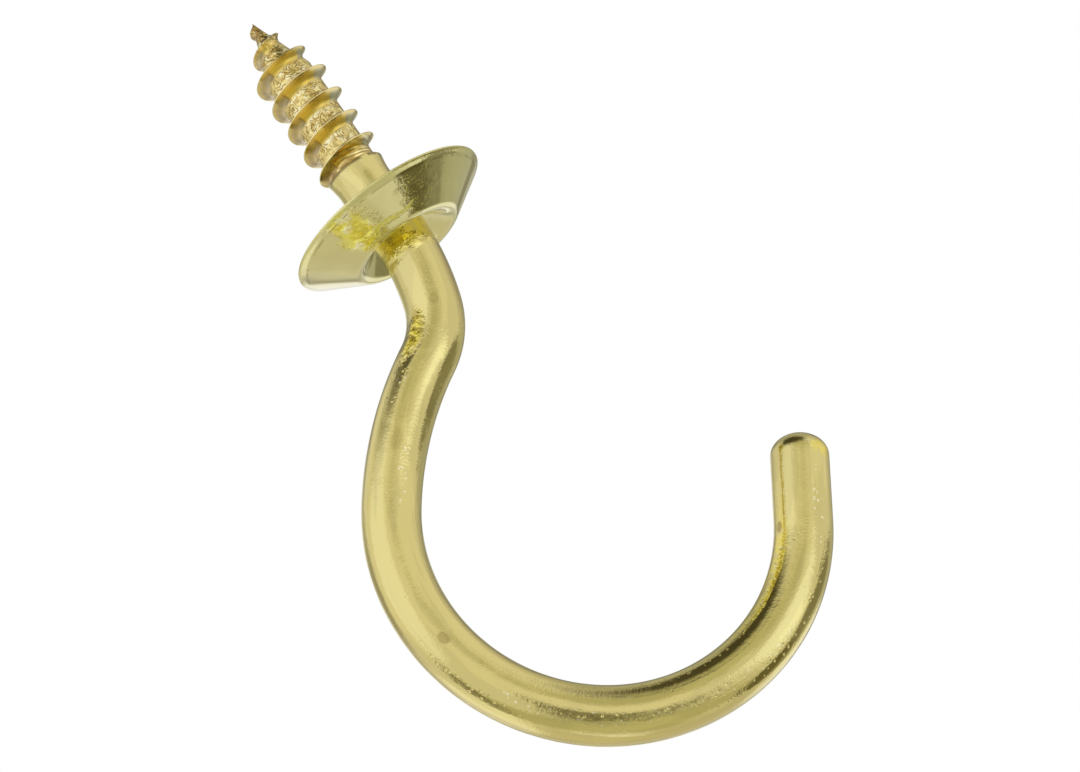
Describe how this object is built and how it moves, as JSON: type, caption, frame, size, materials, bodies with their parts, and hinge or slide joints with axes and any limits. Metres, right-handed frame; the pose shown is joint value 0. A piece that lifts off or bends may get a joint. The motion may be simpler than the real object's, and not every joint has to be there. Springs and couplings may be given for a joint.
{
  "type": "cup hook",
  "caption": "Brass cup hook: an open wire hook with a rolled wood-screw thread, and a dished collar that seats against the wood.",
  "frame": {"origin": "centre of the collar's rim face, which seats against the wood", "axes": "+Z along the screw towards its point, +X from the screw towards the hook's free end; the wire bends in the XZ plane"},
  "size_m": [0.0242, 0.0114, 0.0454],
  "materials": {
    "wire": "lacquered drawn brass wire: soft streaky reflections, fine pits, a few small brown spots; the rolled thread is rougher and deeper gold",
    "collar": "bright lacquered sheet brass, paler than the wire, with a slight ripple from stamping"
  },
  "bodies": {
    "root": {"hook_wire": "wire", "collar": "collar"}
  },
  "joints": []
}
